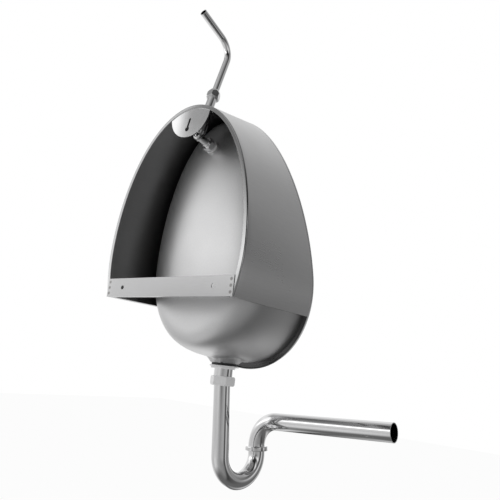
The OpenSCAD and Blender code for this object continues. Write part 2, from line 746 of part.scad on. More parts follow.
bowl();
skirt();
wall_strip();
hanger_plate();
spray_body();
spray_cap();
spray_screw();
inlet_washer();
inlet_backnut();
elbow_nut();
inlet_elbow();
inlet_riser();
compression_nut();
compression_ring();
flush_pipe();
strainer();
strainer_screw();
waste_body();
waste_seal();
waste_gasket();
waste_backnut();
slip_nut();
slip_seal();
trap_bend();
union_washer();
union_nut();
outlet_arm();
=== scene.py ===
import bpy, bmesh
from functools import partial
from math import sin, cos, tan, pi, radians, asin, sqrt
from mathutils import Matrix, Vector


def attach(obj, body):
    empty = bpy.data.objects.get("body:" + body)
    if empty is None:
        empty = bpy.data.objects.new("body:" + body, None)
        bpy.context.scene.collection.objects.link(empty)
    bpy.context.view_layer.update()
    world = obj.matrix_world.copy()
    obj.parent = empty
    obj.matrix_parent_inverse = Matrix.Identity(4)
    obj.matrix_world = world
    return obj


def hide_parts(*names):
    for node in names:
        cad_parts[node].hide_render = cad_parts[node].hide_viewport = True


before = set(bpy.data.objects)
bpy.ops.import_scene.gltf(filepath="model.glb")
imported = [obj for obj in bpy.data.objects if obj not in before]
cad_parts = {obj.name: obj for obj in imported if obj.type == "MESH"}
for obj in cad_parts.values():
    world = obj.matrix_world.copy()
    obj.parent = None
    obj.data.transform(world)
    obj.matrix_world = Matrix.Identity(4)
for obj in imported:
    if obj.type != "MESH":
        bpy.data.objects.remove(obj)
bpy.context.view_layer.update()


# The bowl is one deep-drawn shell of satin stainless sheet. Its egg-shaped rim leans forward at
# the foot and ends in a flat land, a fold and a short lip. A tree turns the angle round the rim
# and the share of the way out to it into a place on the shell.
mm = 0.001
sheet = 1.2 * mm
rim_half_w = 190 * mm
rim_mid_z = 69 * mm
rim_rise = 362 * mm
rim_drop = 205 * mm
rim_point = 1.08
rim_reach = 269 * mm
rim_rake = radians(15)
land_w = 12 * mm
lip_d = 9 * mm
fold_r = 3 * mm
bowl_gap = 83 * mm
bowl_lean = radians(2.5)
bowl_square = 3.8
pole_drop = 65 * mm
drain_y = -215 * mm
seat_z = -131.5 * mm
well_r = 32 * mm
well_slope = 9.5 / 6
well_top = -60 * mm
well_reach = 60 * mm
drain_r = 22.05 * mm
shank_r = 10.8 * mm
touching = 1e-6
rim_columns = 288
bowl_rows = 60


def calc(tree, kind, *terms):
    """A math node whose terms are sockets or plain numbers."""
    node = tree.nodes.new("ShaderNodeMath")
    node.operation = kind
    for place, term in zip(node.inputs, terms):
        if isinstance(term, (int, float)):
            place.default_value = term
        else:
            tree.links.new(term, place)
    return node.outputs[0]


def new_tree(name, sizes):
    """An empty tree with geometry in and out and a named input for each size."""
    tree = bpy.data.node_groups.new(name, "GeometryNodeTree")
    tree.interface.new_socket("Geometry", in_out="INPUT", socket_type="NodeSocketGeometry")
    for size, value in sizes.items():
        kind = "NodeSocketInt" if isinstance(value, int) else "NodeSocketFloat"
        tree.interface.new_socket(size, in_out="INPUT", socket_type=kind).default_value = value
    tree.interface.new_socket("Finish", in_out="INPUT", socket_type="NodeSocketMaterial")
    tree.interface.new_socket("Geometry", in_out="OUTPUT", socket_type="NodeSocketGeometry")
    return tree, tree.nodes.new("NodeGroupInput"), tree.nodes.new("NodeGroupOutput")


def finish_tree(tree, geometry, start, end):
    """Closes a tree with Realize Instances and Set Material."""
    real = tree.nodes.new("GeometryNodeRealizeInstances")
    paint = tree.nodes.new("GeometryNodeSetMaterial")
    tree.links.new(geometry, real.inputs[0])
    tree.links.new(real.outputs[0], paint.inputs["Geometry"])
    tree.links.new(start.outputs["Finish"], paint.inputs["Material"])
    tree.links.new(paint.outputs[0], end.inputs[0])


def new_piece(name, points, faces, edges=()):
    """An object at the origin with its place in its mesh."""
    mesh = bpy.data.meshes.new(name)
    mesh.from_pydata(points, edges, faces)
    piece = bpy.data.objects.new(name, mesh)
    bpy.context.scene.collection.objects.link(piece)
    return piece


def grow(piece, tree, finish, sizes=None):
    """Runs a tree on a piece."""
    growth = piece.modifiers.new("growth", "NODES")
    growth.node_group = tree
    for item in tree.interface.items_tree:
        if item.in_out == "INPUT" and item.name == "Finish":
            growth[item.identifier] = finish
        if item.in_out == "INPUT" and sizes and item.name in sizes:
            growth[item.identifier] = sizes[item.name]


def bake(piece):
    """Turns a piece with modifiers into a plain mesh."""
    bpy.context.view_layer.update()
    shape = bpy.data.meshes.new_from_object(
        piece.evaluated_get(bpy.context.evaluated_depsgraph_get()))
    piece.modifiers.clear()
    piece.data = shape
    return piece


def set_shape(piece, crease=35):
    """Bakes a piece and shades it smooth except at its creases."""
    bake(piece)
    piece.data.shade_smooth()
    piece.data.set_sharp_from_angle(angle=radians(crease))


def soften(piece, width, crease=35):
    """Rounds a piece's sharp edges and keeps its flat faces flat to the light."""
    piece.data.shade_smooth()
    soft = piece.modifiers.new("soft edges", "BEVEL")
    soft.width = width
    soft.segments = 3
    soft.limit_method = "ANGLE"
    soft.angle_limit = radians(crease)
    soft.use_clamp_overlap = True
    flat = piece.modifiers.new("flat faces", "WEIGHTED_NORMAL")
    flat.weight = 100
    flat.keep_sharp = False
    return bake(piece)


def face_outward(piece, merge=0.0):
    """Points a piece's faces outward, once points closer than merge are one."""
    solid = bmesh.new()
    solid.from_mesh(piece.data)
    if merge:
        bmesh.ops.remove_doubles(solid, verts=solid.verts, dist=merge)
    bmesh.ops.recalc_face_normals(solid, faces=solid.faces)
    solid.to_mesh(piece.data)
    solid.free()


def effect(name, inputs, outputs):
    """An empty shader group with named inputs and outputs."""
    group = bpy.data.node_groups.new(name, "ShaderNodeTree")
    for socket, value in inputs.items():
        kind = "NodeSocketVector" if isinstance(value, tuple) else "NodeSocketFloat"
        made = group.interface.new_socket(socket, in_out="INPUT", socket_type=kind)
        made.default_value = value
    for socket in outputs:
        group.interface.new_socket(socket, in_out="OUTPUT", socket_type="NodeSocketFloat")
    return group, group.nodes.new("NodeGroupInput"), group.nodes.new("NodeGroupOutput")


# Grain: fine parallel scratches from the rolling and brushing of the sheet, as a value about 0.5
grain, grain_in, grain_out = effect(
    "grain", {"Place": (0, 0, 0), "Fine": 900.0, "Long": 0.04}, ["Value"])
stretch = grain.nodes.new("ShaderNodeCombineXYZ")
grain.links.new(grain_in.outputs["Fine"], stretch.inputs[0])
grain.links.new(grain_in.outputs["Fine"], stretch.inputs[1])
drawn_out = calc(grain, "MULTIPLY", grain_in.outputs["Fine"], grain_in.outputs["Long"])
grain.links.new(drawn_out, stretch.inputs[2])
scaled = grain.nodes.new("ShaderNodeVectorMath")
scaled.operation = "MULTIPLY"
grain.links.new(grain_in.outputs["Place"], scaled.inputs[0])
grain.links.new(stretch.outputs[0], scaled.inputs[1])
scratches = grain.nodes.new("ShaderNodeTexNoise")
scratches.inputs["Scale"].default_value = 1
scratches.inputs["Detail"].default_value = 3
grain.links.new(scaled.outputs[0], scratches.inputs["Vector"])
grain.links.new(scratches.outputs[0], grain_out.inputs["Value"])

# Cloudiness: slow changes of sheen where the metal was wiped, drawn and handled
cloud, cloud_in, cloud_out = effect(
    "cloudiness", {"Place": (0, 0, 0), "Size": 9.0, "Low": 0.2, "High": 0.3}, ["Value"])
patches = cloud.nodes.new("ShaderNodeTexNoise")
patches.inputs["Detail"].default_value = 4
patches.inputs["Roughness"].default_value = 0.6
cloud.links.new(cloud_in.outputs["Place"], patches.inputs["Vector"])
cloud.links.new(cloud_in.outputs["Size"], patches.inputs["Scale"])
spread = cloud.nodes.new("ShaderNodeMapRange")
spread.inputs["From Min"].default_value = 0.3
spread.inputs["From Max"].default_value = 0.7
cloud.links.new(patches.outputs[0], spread.inputs["Value"])
cloud.links.new(cloud_in.outputs["Low"], spread.inputs["To Min"])
cloud.links.new(cloud_in.outputs["High"], spread.inputs["To Max"])
cloud.links.new(spread.outputs[0], cloud_out.inputs["Value"])

# Weld spot: a round mask about a point, full at its middle, for the heat-tinted dimple
spot, spot_in, spot_out = effect(
    "weld spot", {"Place": (0, 0, 0), "Middle": (0, 0, 0), "Radius": 0.004}, ["Mask"])
away = spot.nodes.new("ShaderNodeVectorMath")
away.operation = "DISTANCE"
spot.links.new(spot_in.outputs["Place"], away.inputs[0])
spot.links.new(spot_in.outputs["Middle"], away.inputs[1])
falloff = spot.nodes.new("ShaderNodeMapRange")
falloff.interpolation_type = "SMOOTHSTEP"
falloff.inputs["To Min"].default_value = 1
falloff.inputs["To Max"].default_value = 0
spot.links.new(away.outputs["Value"], falloff.inputs["Value"])
full_r = calc(spot, "MULTIPLY", spot_in.outputs["Radius"], 0.45)
spot.links.new(full_r, falloff.inputs["From Min"])
spot.links.new(spot_in.outputs["Radius"], falloff.inputs["From Max"])
spot.links.new(falloff.outputs[0], spot_out.inputs["Mask"])


grain_sheen, grain_height = 0.02, 0.02
worn_tones = [(0.3, (0.97, 0.97, 0.975)), (0.7, (1.03, 1.03, 1.035))]
burn_tone, burn_share, burn_dimple = (0.13, 0.125, 0.12, 1), 0.75, 0.5


def steel(name, tone, low, high, fine=900.0, long=0.04, depth=0.12, turn=(0, 0, 0), size=9.0,
          spots=(), spot_r=0.004):
    """A stainless finish: grain in tone and height, sheen from low to high roughness in clouds
    of a size, and weld spots where given."""
    finish = bpy.data.materials.new(name)
    finish.use_nodes = True
    tree = finish.node_tree
    shader = tree.nodes["Principled BSDF"]
    shader.inputs["Metallic"].default_value = 1
    place = tree.nodes.new("ShaderNodeTexCoord")
    turned_place = tree.nodes.new("ShaderNodeMapping")
    turned_place.inputs["Rotation"].default_value = turn
    tree.links.new(place.outputs["Object"], turned_place.inputs["Vector"])
    lines = tree.nodes.new("ShaderNodeGroup")
    lines.node_tree = grain
    lines.inputs["Fine"].default_value = fine
    lines.inputs["Long"].default_value = long
    tree.links.new(turned_place.outputs[0], lines.inputs["Place"])
    sheen = tree.nodes.new("ShaderNodeGroup")
    sheen.node_tree = cloud
    sheen.inputs["Size"].default_value = size
    sheen.inputs["Low"].default_value = low
    sheen.inputs["High"].default_value = high
    tree.links.new(place.outputs["Object"], sheen.inputs["Place"])
    scuff = calc(tree, "MULTIPLY_ADD", lines.outputs[0], grain_sheen, -grain_sheen / 2)
    tree.links.new(calc(tree, "ADD", sheen.outputs[0], scuff), shader.inputs["Roughness"])
    ramp = tree.nodes.new("ShaderNodeValToRGB")
    for stop, (position, tint) in zip(ramp.color_ramp.elements, worn_tones):
        stop.position = position
        stop.color = tuple(tone * t for t in tint) + (1,)
    tree.links.new(lines.outputs[0], ramp.inputs[0])
    colour = ramp.outputs[0]
    height = calc(tree, "MULTIPLY", lines.outputs[0], grain_height)
    for middle in spots:
        mark = tree.nodes.new("ShaderNodeGroup")
        mark.node_tree = spot
        mark.inputs["Middle"].default_value = middle
        mark.inputs["Radius"].default_value = spot_r
        tree.links.new(place.outputs["Object"], mark.inputs["Place"])
        burn = tree.nodes.new("ShaderNodeMix")
        burn.data_type = "RGBA"
        burn.inputs["B"].default_value = burn_tone
        tree.links.new(calc(tree, "MULTIPLY", mark.outputs[0], burn_share), burn.inputs["Factor"])
        tree.links.new(colour, burn.inputs["A"])
        colour = burn.outputs["Result"]
        dimple = calc(tree, "MULTIPLY", mark.outputs[0], burn_dimple)
        height = calc(tree, "SUBTRACT", height, dimple)
    tree.links.new(colour, shader.inputs["Base Color"])
    bump = tree.nodes.new("ShaderNodeBump")
    bump.inputs["Strength"].default_value = depth
    bump.inputs["Distance"].default_value = 0.001
    tree.links.new(height, bump.inputs["Height"])
    tree.links.new(bump.outputs[0], shader.inputs["Normal"])
    return finish


bowl_steel = steel("drawn satin steel", 0.66, 0.4, 0.46, fine=700.0, long=0.5, depth=0.06,
                   size=7.0)

bowl_sizes = {"Half Width": rim_half_w, "Middle": rim_mid_z, "Rise": rim_rise, "Drop": rim_drop,
              "Point": rim_point, "Reach": rim_reach, "Rake": rim_rake, "Lean": bowl_lean,
              "Square": bowl_square, "Pole Drop": pole_drop, "Drain": drain_y, "Seat": seat_z,
              "Well Slope": well_slope}
drawing, given, result = new_tree("drawn bowl", bowl_sizes)
size = given.outputs


def field(name):
    """A named number that each point of the flat pattern carries."""
    node = drawing.nodes.new("GeometryNodeInputNamedAttribute")
    node.data_type = "FLOAT"
    node.inputs["Name"].default_value = name
    return node.outputs["Attribute"]


on_bowl = partial(calc, drawing)
plus, minus, times, power, most, least, times_plus = [
    partial(calc, drawing, kind)
    for kind in ("ADD", "SUBTRACT", "MULTIPLY", "POWER", "MAXIMUM", "MINIMUM", "MULTIPLY_ADD")]
turn_a, share, inset, depth, gap_back, well_low, well_at = [
    field(name) for name in ("turn", "share", "inset", "depth", "gap", "low", "well")]
sine = on_bowl("SINE", turn_a)
above = times(minus(size["Rise"], inset), power(most(sine, 0.0), size["Point"]))
below = times(minus(size["Drop"], inset), least(sine, 0.0))
rim_height = plus(size["Middle"], plus(above, below))
z = times_plus(plus(rim_height, size["Pole Drop"]), share, times(size["Pole Drop"], -1.0))
hollow = minus(1.0, least(power(share, size["Square"]), 1.0))
swell = power(hollow, on_bowl("DIVIDE", 1.0, size["Square"]))
front = times_plus(z, on_bowl("TANGENT", size["Rake"]), times(size["Reach"], -1.0))
rear = times_plus(z, on_bowl("TANGENT", size["Lean"]), times(gap_back, -1.0))
y = times_plus(minus(rear, front), swell, front)
x = times(times(minus(size["Half Width"], inset), on_bowl("COSINE", turn_a)), share)
y = times_plus(depth, on_bowl("COSINE", size["Rake"]), y)
z = minus(z, times(depth, on_bowl("SINE", size["Rake"])))
# The pressed well round the waste: a flat floor and a conical flank, only low in the bowl
aside = power(on_bowl("ABSOLUTE", x), 2.0)
ahead = power(on_bowl("ABSOLUTE", minus(y, size["Drain"])), 2.0)
from_drain = on_bowl("SQRT", plus(aside, ahead))
flank = times(most(minus(from_drain, well_at), 0.0), size["Well Slope"])
floor_z = plus(plus(size["Seat"], well_low), flank)
is_low, is_near = on_bowl("LESS_THAN", z, well_top), on_bowl("LESS_THAN", from_drain, well_reach)
z = plus(z, times(minus(least(z, floor_z), z), times(is_low, is_near)))
spot_xyz = drawing.nodes.new("ShaderNodeCombineXYZ")
for place, value in zip(spot_xyz.inputs, (x, y, z)):
    drawing.links.new(value, place)
shift = drawing.nodes.new("GeometryNodeSetPosition")
drawing.links.new(given.outputs["Geometry"], shift.inputs["Geometry"])
drawing.links.new(spot_xyz.outputs[0], shift.inputs["Position"])
weld = drawing.nodes.new("GeometryNodeMergeByDistance")
weld.inputs["Distance"].default_value = touching
drawing.links.new(shift.outputs[0], weld.inputs["Geometry"])
finish_tree(drawing, weld.outputs[0], given, result)


def quarter(steps):
    """The angles of a quarter turn in equal steps."""
    return [pi / 2 * k / steps for k in range(steps + 1)]


# Rows of the pattern: inside skin from its deepest point out, land, fold, lip, the outside back
fold_steps = 6
inner_r = fold_r - sheet
lip_round = 0.3 * mm
inside = [(sin(t), land_w + sheet, 0, bowl_gap + sheet, sheet, well_r - sheet)
          for t in quarter(bowl_rows)]
edge_rows = [(land_w - 3 * mm, 0), (fold_r + 3 * mm, 0)]
edge_rows += [(fold_r * (1 - sin(t)), fold_r * (1 - cos(t))) for t in quarter(fold_steps)]
edge_rows += [(0, lip_d - lip_round), (lip_round, lip_d),
              (sheet - lip_round, lip_d), (sheet, lip_d - lip_round)]
edge_rows += [(fold_r - inner_r * sin(t), fold_r - inner_r * cos(t)) for t in reversed(quarter(4))]
edge_rows += [(land_w - 2 * mm, sheet)]
edge = [(1, i, w, bowl_gap, 0, well_r) for i, w in edge_rows]
outside = [(sin(t), land_w, 0, bowl_gap, 0, well_r) for t in reversed(quarter(bowl_rows))]
outside[0] = (1, land_w, sheet, bowl_gap, 0, well_r)
rows = inside + edge + outside
pattern, panes = [], []
for r in range(len(rows)):
    for c in range(rim_columns):
        pattern.append((c * mm, r * mm, 0))
        if r + 1 < len(rows):
            p, q, n = r * rim_columns + c, r * rim_columns + (c + 1) % rim_columns, rim_columns
            panes.append((p, p + n, q + n, q))
bowl = new_piece("bowl_shell", pattern, panes)
columns = {"turn": [2 * pi * c / rim_columns for _ in rows for c in range(rim_columns)]}
for k, name in enumerate(("share", "inset", "depth", "gap", "low", "well")):
    columns[name] = [row[k] for row in rows for _ in range(rim_columns)]
for name, values in columns.items():
    bowl.data.attributes.new(name, "FLOAT", "POINT").data.foreach_set("value", values)
grow(bowl, drawing, bowl_steel)
set_shape(bowl)
# The rim's fold is worked bright. The rear side of the land and lip is near-black steel: painted
# shade for the hollow behind the fold.
edge_steel = steel("worked edge steel", 0.4, 0.12, 0.17, fine=900.0, long=0.2, depth=0.02,
                   size=20.0)
lip_steel_painted_shade = steel("lip steel darkened for painted shade", 0.1, 0.24, 0.3, fine=900.0, long=0.2, depth=0.02, size=20.0)
bowl.data.materials.append(edge_steel)
bowl.data.materials.append(lip_steel_painted_shade)
worked_w, skin = fold_r + 3.1 * mm, 0.9 * sheet
from_edge = [value.value for value in bowl.data.attributes["inset"].data]
from_land = [value.value for value in bowl.data.attributes["depth"].data]
for pane in bowl.data.polygons:
    if max(from_edge[p] for p in pane.vertices) < worked_w:
        pane.material_index = 1
    # These rear faces of the land and lip take the near-black painted shade
    if all(from_land[p] > skin and from_edge[p] > skin for p in pane.vertices):
        pane.material_index = 2

# The axes of the flush pipe, of the elbow's leg through the bowl, and of the waste
elbow_at = Vector((0, -34 * mm, 338 * mm))
flush_lean, leg_lean = radians(15), radians(95)
flush_place = Matrix.Translation(elbow_at) @ Matrix.Rotation(flush_lean, 4, "X")
leg_place = Matrix.Translation(elbow_at) @ Matrix.Rotation(leg_lean, 4, "X")
waste_place = Matrix.Translation((0, drain_y, seat_z))


def rounded(outline, radius, steps=4):
    """The outline's corners, each turned into a short arc of about that radius."""
    out = []
    count = len(outline)
    for k in range(count):
        a, b, c = (Vector(outline[(k + j) % count]) for j in (-1, 0, 1))
        cut = min(radius, (a - b).length * 0.45, (c - b).length * 0.45)
        start, end = b + (a - b).normalized() * cut, b + (c - b).normalized() * cut
        for s in range(steps + 1):
            t = s / steps
            out.append((start * (1 - t) + b * t) * (1 - t) + (b * (1 - t) + end * t) * t)
    return out


def turned(name, outline, place, radius=0.3 * mm, steps=96, finish=None):
    """A closed turned solid: an outline of (radius, height) spun about the axis of a place."""
    ring = rounded(outline, radius) if radius else [Vector(p) for p in outline]
    area = sum(a[0] * b[1] - b[0] * a[1] for a, b in zip(ring, ring[1:] + ring[:1]))
    if area < 0:
        ring.reverse()
    count = len(ring)
    points = [place @ Vector((p[0] * cos(2 * pi * s / steps), p[0] * sin(2 * pi * s / steps), p[1]))
              for s in range(steps) for p in ring]
    faces = [(s * count + k, ((s + 1) % steps) * count + k,
              ((s + 1) % steps) * count + (k + 1) % count, s * count + (k + 1) % count)
             for s in range(steps) for k in range(count)]
    piece = new_piece(name, points, faces)
    face_outward(piece, touching)
    if finish:
        piece.data.materials.append(finish)
    piece.data.shade_smooth()
    piece.data.set_sharp_from_angle(angle=radians(50))
    return piece


def bored(piece, *tools):
    """Cuts the tools out of a piece and removes them."""
    for tool in tools:
        cut = piece.modifiers.new("bore", "BOOLEAN")
        cut.operation = "DIFFERENCE"
        cut.solver = "EXACT"
        cut.object = tool
        tool.hide_render = True
    set_shape(piece)
    for tool in tools:
        bpy.data.objects.remove(tool)


def drill(radius, length, place, start=0.0):
    """A plain cylinder along the axis of a place, to cut with."""
    end = start + length
    return turned("drill", [(0, start), (radius, start), (radius, end), (0, end)],
                  place, radius=0, steps=64)


def ring_outline(inner, outer, low, high):
    """The section of a plain ring between two radii and two heights."""
    return [(inner, low), (outer, low), (outer, high), (inner, high)]


leg_length, pad_proud = 52.1 * mm, 1.5 * mm
pad_r, pad_t = 16 * mm, 4.5 * mm
pad_rear = leg_length - pad_proud
bored(bowl, drill(drain_r, 4 * mm, waste_place, -1 * mm),
      drill(shank_r, 12 * mm, leg_place, pad_rear - 4 * mm))
pad = turned("pad", ring_outline(shank_r, pad_r, pad_rear, pad_rear + pad_t), leg_place,
             finish=bowl_steel)


def join(piece, *others):
    """Adds the meshes of others to a piece's own."""
    solid = bmesh.new()
    solid.from_mesh(piece.data)
    for other in others:
        solid.from_mesh(other.data)
        bpy.data.objects.remove(other)
    solid.to_mesh(piece.data)
    solid.free()


join(bowl, pad)
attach(bowl, "shell")
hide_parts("bowl")


# The skirt is one sheet of satin stainless, rolled round the bowl from its rim back to the wall.
# A narrow flange is folded in at the wall, and each foot ends in a hem. The water pipe comes up
# through a round hole in its crown.
arch_half_w = 187 * mm
arch_mid_z = 80 * mm
arch_rise = 316 * mm
arch_drop = 254 * mm
flange_w = 9 * mm
hem_w = 9 * mm
wall_y = -1.5 * mm
foot_rear = 19.5 * mm
foot_front = 14 * mm
rear_a = asin((arch_mid_z + foot_rear) / arch_drop)
rim_a = asin((rim_mid_z + foot_front) / rim_drop)
skirt_columns = 240
skirt_rows = 16


def rim_at(a, inset, w):
    """A point near the bowl's rim: angle a round it, inset from its edge and w behind it."""
    s = sin(a)
    z = rim_mid_z + ((rim_rise - inset) * s ** rim_point if s > 0 else (rim_drop - inset) * s)
    return Vector(((rim_half_w - inset) * cos(a),
                   -rim_reach + z * tan(rim_rake) + w * cos(rim_rake), z - w * sin(rim_rake)))


def arch_at(a, inset, y):
    """A point of the arch at the wall: angle a round it, inset from its edge, at a given y."""
    rise = (arch_rise if sin(a) > 0 else arch_drop) - inset
    return Vector(((arch_half_w - inset) * cos(a), y, arch_mid_z + rise * sin(a)))


points, faces = [], []
for i in range(skirt_columns + 1):
    a = -rear_a + (pi + 2 * rear_a) * i / skirt_columns
    b = -rim_a + (pi + 2 * rim_a) * i / skirt_columns
    outer = [arch_at(a, flange_w, wall_y)]
    outer += [arch_at(a, fold_r * (1 - sin(t)), wall_y - fold_r * (1 - cos(t)))
              for t in quarter(fold_steps)]
    far, near = arch_at(a, 0, wall_y - fold_r), rim_at(b, 0, lip_d)
    outer += [far + (near - far) * k / skirt_rows for k in range(1, skirt_rows + 1)]
    far, near = arch_at(a, sheet, wall_y - fold_r), rim_at(b, sheet, lip_d)
    inner = [far + (near - far) * k / skirt_rows for k in range(skirt_rows, 0, -1)]
    inner += [arch_at(a, sheet + inner_r * (1 - sin(t)), wall_y - sheet - inner_r * (1 - cos(t)))
              for t in reversed(quarter(fold_steps))]
    inner += [arch_at(a, flange_w, wall_y - sheet)]
    points += outer + inner
width = len(points) // (skirt_columns + 1)
for i in range(skirt_columns):
    for k in range(width):
        p, l = i * width, (k + 1) % width
        faces.append((p + k, p + l, p + width + l, p + width + k))
last = skirt_columns * width
for k in range(width // 2 - 1):
    faces.append((k, width - 1 - k, width - 2 - k, k + 1))
    faces.append((last + k, last + k + 1, last + width - 2 - k, last + width - 1 - k))
skirt = new_piece("skirt_sheet", points, faces)
face_outward(skirt)
skirt_steel = steel("rolled satin steel", 0.58, 0.26, 0.32, fine=900.0, long=0.03, depth=0.0,
                    turn=(radians(90), 0, 0), size=5.0)
# The inside of the skirt is a duller mill finish, and its much darker tone is painted shade for the
# closed hollow round the bowl
inside_steel_painted_shade = steel("dull inside steel with painted shade", 0.25, 0.3, 0.38, fine=900.0, long=0.03, depth=0.02,
                   turn=(radians(90), 0, 0), size=5.0)
for finish in (skirt_steel, inside_steel_painted_shade, edge_steel):
    skirt.data.materials.append(finish)
fold_faces = fold_steps + 1
# The inner skin takes the darkened inside steel, which paints shade; the folds take the worked edge
# steel
for pane in skirt.data.polygons[:skirt_columns * width]:
    row = pane.index % width
    if len(outer) <= row < width - fold_faces - 1:
        pane.material_index = 1
    if row < fold_faces:
        pane.material_index = 2
bored(skirt, drill(shank_r, 60 * mm, flush_place, 40 * mm))


def block(name, corners, finish):
    """A solid with eight given corners, low four then high four, and softened edges."""
    sides = [(0, 3, 2, 1), (4, 5, 6, 7), (0, 1, 5, 4), (1, 2, 6, 5), (2, 3, 7, 6), (3, 0, 4, 7)]
    piece = new_piece(name, corners, sides)
    face_outward(piece)
    piece.data.materials.append(finish)
    return soften(piece, 0.3 * mm)


hems = []
hem_gap = 0.3 * mm
hem_rear = arch_at(-rear_a, sheet / 2, wall_y - sheet - hem_gap)
hem_front = rim_at(-rim_a, sheet / 2, lip_d + hem_gap)
for side in (1, -1):
    corners = []
    for lift in (hem_gap, hem_gap + sheet):
        for p, reach in ((hem_rear, 0), (hem_rear, hem_w), (hem_front, hem_w), (hem_front, 0)):
            corners.append(Vector((side * (p.x - reach), p.y, p.z + lift)))
    hems.append(block("hem", corners, skirt_steel))
join(skirt, *hems)
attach(skirt, "shell")
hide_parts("skirt")


# The wall strip is a folded bar of brushed stainless sheet across the back, with a hole for a
# screw near each end. Three spot welds at each end hold it to the skirt's flange.
flat_within = radians(0.5)


def fine_copy(name, node, finish, bevel=0.25 * mm, crease=35):
    """A merged copy of a node's mesh with softened edges."""
    piece = new_piece(name, [], [])
    solid = bmesh.new()
    solid.from_mesh(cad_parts[node].data)
    bmesh.ops.remove_doubles(solid, verts=solid.verts, dist=touching)
    bmesh.ops.dissolve_limit(solid, angle_limit=flat_within, verts=solid.verts, edges=solid.edges)
    solid.to_mesh(piece.data)
    solid.free()
    piece.data.materials.clear()
    piece.data.materials.append(finish)
    return soften(piece, bevel, crease)


spot_inset, spot_pitch, strip_spot_r = 6 * mm, 12 * mm, 4.2 * mm
strip_end = arch_half_w * cos(rear_a)
strip_spots = [(side * (strip_end - spot_inset), 0, step * spot_pitch)
               for side in (-1, 1) for step in (-1, 0, 1)]
strip_steel = steel("brushed strip steel", 0.36, 0.2, 0.26, fine=1100.0, long=0.03, depth=0.12,
                    turn=(0, radians(90), 0), size=12.0, spots=strip_spots, spot_r=strip_spot_r)
strip = fine_copy("strip_bar", "wall_strip", strip_steel)
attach(strip, "shell")
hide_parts("wall_strip")


# The hanger plate is a disc of thinner polished sheet cut to the arch, with a keyhole for the
# screw that takes the weight. Three spot welds at its upper edge hold it to the flange.
plate_y, plate_inset, plate_spot_r = wall_y - sheet, 6.5 * mm, 3.6 * mm
plate_spots = [tuple(arch_at(radians(round_arch), plate_inset, plate_y))
               for round_arch in (62, 88, 115)]
plate_steel = steel("bright plate steel", 0.74, 0.06, 0.1, fine=900.0, long=0.05, depth=0.05,
                    size=14.0, spots=plate_spots, spot_r=plate_spot_r)
plate = fine_copy("hanger_disc", "hanger_plate", plate_steel, bevel=0.2 * mm)
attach(plate, "shell")
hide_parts("hanger_plate")


# The flush pipe is bent polished tube: it leans out from the wall, turns in one smooth bend and
# runs back to the wall. It is pushed through a sealing ring into the riser.
polished = steel("polished tube steel", 0.78, 0.045, 0.085, fine=500.0, long=0.15, depth=0.015,
                 size=30.0)
sweep, path_in, path_out = new_tree("tube along a path", {"Radius": 8 * mm, "Sides": 96})
along = sweep.nodes.new("GeometryNodeMeshToCurve")
ring = sweep.nodes.new("GeometryNodeCurvePrimitiveCircle")
skin = sweep.nodes.new("GeometryNodeCurveToMesh")
sweep.links.new(path_in.outputs["Geometry"], along.inputs["Mesh"])
sweep.links.new(path_in.outputs["Radius"], ring.inputs["Radius"])
sweep.links.new(path_in.outputs["Sides"], ring.inputs["Resolution"])
sweep.links.new(along.outputs[0], skin.inputs["Curve"])
sweep.links.new(ring.outputs[0], skin.inputs["Profile Curve"])
finish_tree(sweep, skin.outputs[0], path_in, path_out)


def pipe(name, path, radius, wall):
    """An open-ended polished tube with a real wall and softened ends along a path."""
    piece = new_piece(name, path, [], [(k, k + 1) for k in range(len(path) - 1)])
    grow(piece, sweep, polished, {"Radius": radius})
    thick = piece.modifiers.new("wall", "SOLIDIFY")
    thick.thickness = wall
    thick.offset = -1
    thick.use_even_offset = True
    set_shape(piece, 60)
    face_outward(piece)
    return soften(piece, 0.25 * mm, crease=60)


def bend(centre, start, end, degrees_round, steps=40):
    """Points of an arc about a centre from one arm towards another."""
    return [centre + start * cos(t) + end * sin(t)
            for t in [radians(degrees_round) * k / steps for k in range(steps + 1)]]


def run(a, b, steps=10):
    """Points of a straight run from one place to another."""
    return [a + (b - a) * k / steps for k in range(steps + 1)]


X, Y, Z = Vector((1, 0, 0)), Vector((0, 1, 0)), Vector((0, 0, 1))
riser_l = 123 * mm
socket = 26 * mm
flush_r = 40 * mm
flush_rise = 229 * mm
flush_reach = 71 * mm
flush_tube_r, flush_wall = 8 * mm, 1.2 * mm
bend_end = Y * flush_r + Z * (flush_rise + flush_r)
path = run(Z * (riser_l - socket), Z * flush_rise)[:-1]
path += bend(Y * flush_r + Z * flush_rise, -Y * flush_r, Z * flush_r, 90)
path += run(bend_end, bend_end + Y * flush_reach)[1:]
flush_pipe = pipe("flush_tube", [flush_place @ p for p in path], flush_tube_r, flush_wall)
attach(flush_pipe, "flush_pipe")
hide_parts("flush_pipe")


# The riser is a thick polished tube through the crown of the skirt. Its bore widens near the top
# into the socket that the flush pipe is pushed into.
bottom, bore, riser_r = 15 * mm, 6.8 * mm, 10.5 * mm
socket_r, socket_foot = flush_tube_r + 0.08 * mm, riser_l - socket - 1 * mm
riser = turned("riser_tube", [(bore, bottom), (riser_r, bottom), (riser_r, riser_l),
                              (socket_r, riser_l), (socket_r, socket_foot), (bore, socket_foot)],
               flush_place, finish=polished)
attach(riser, "shell")
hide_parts("inlet_riser")


# The compression nut is a coned hexagon of polished steel on the riser's thread. Screwed down, it
# presses a rubber ring round the flush pipe.
nut_steel = steel("polished nut steel", 0.76, 0.07, 0.12, fine=700.0, long=0.1, depth=0.02,
                  size=60.0)
compression_nut = fine_copy("coned_nut", "compression_nut", nut_steel, bevel=0.35 * mm)
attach(compression_nut, "compression_nut")
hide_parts("compression_nut")


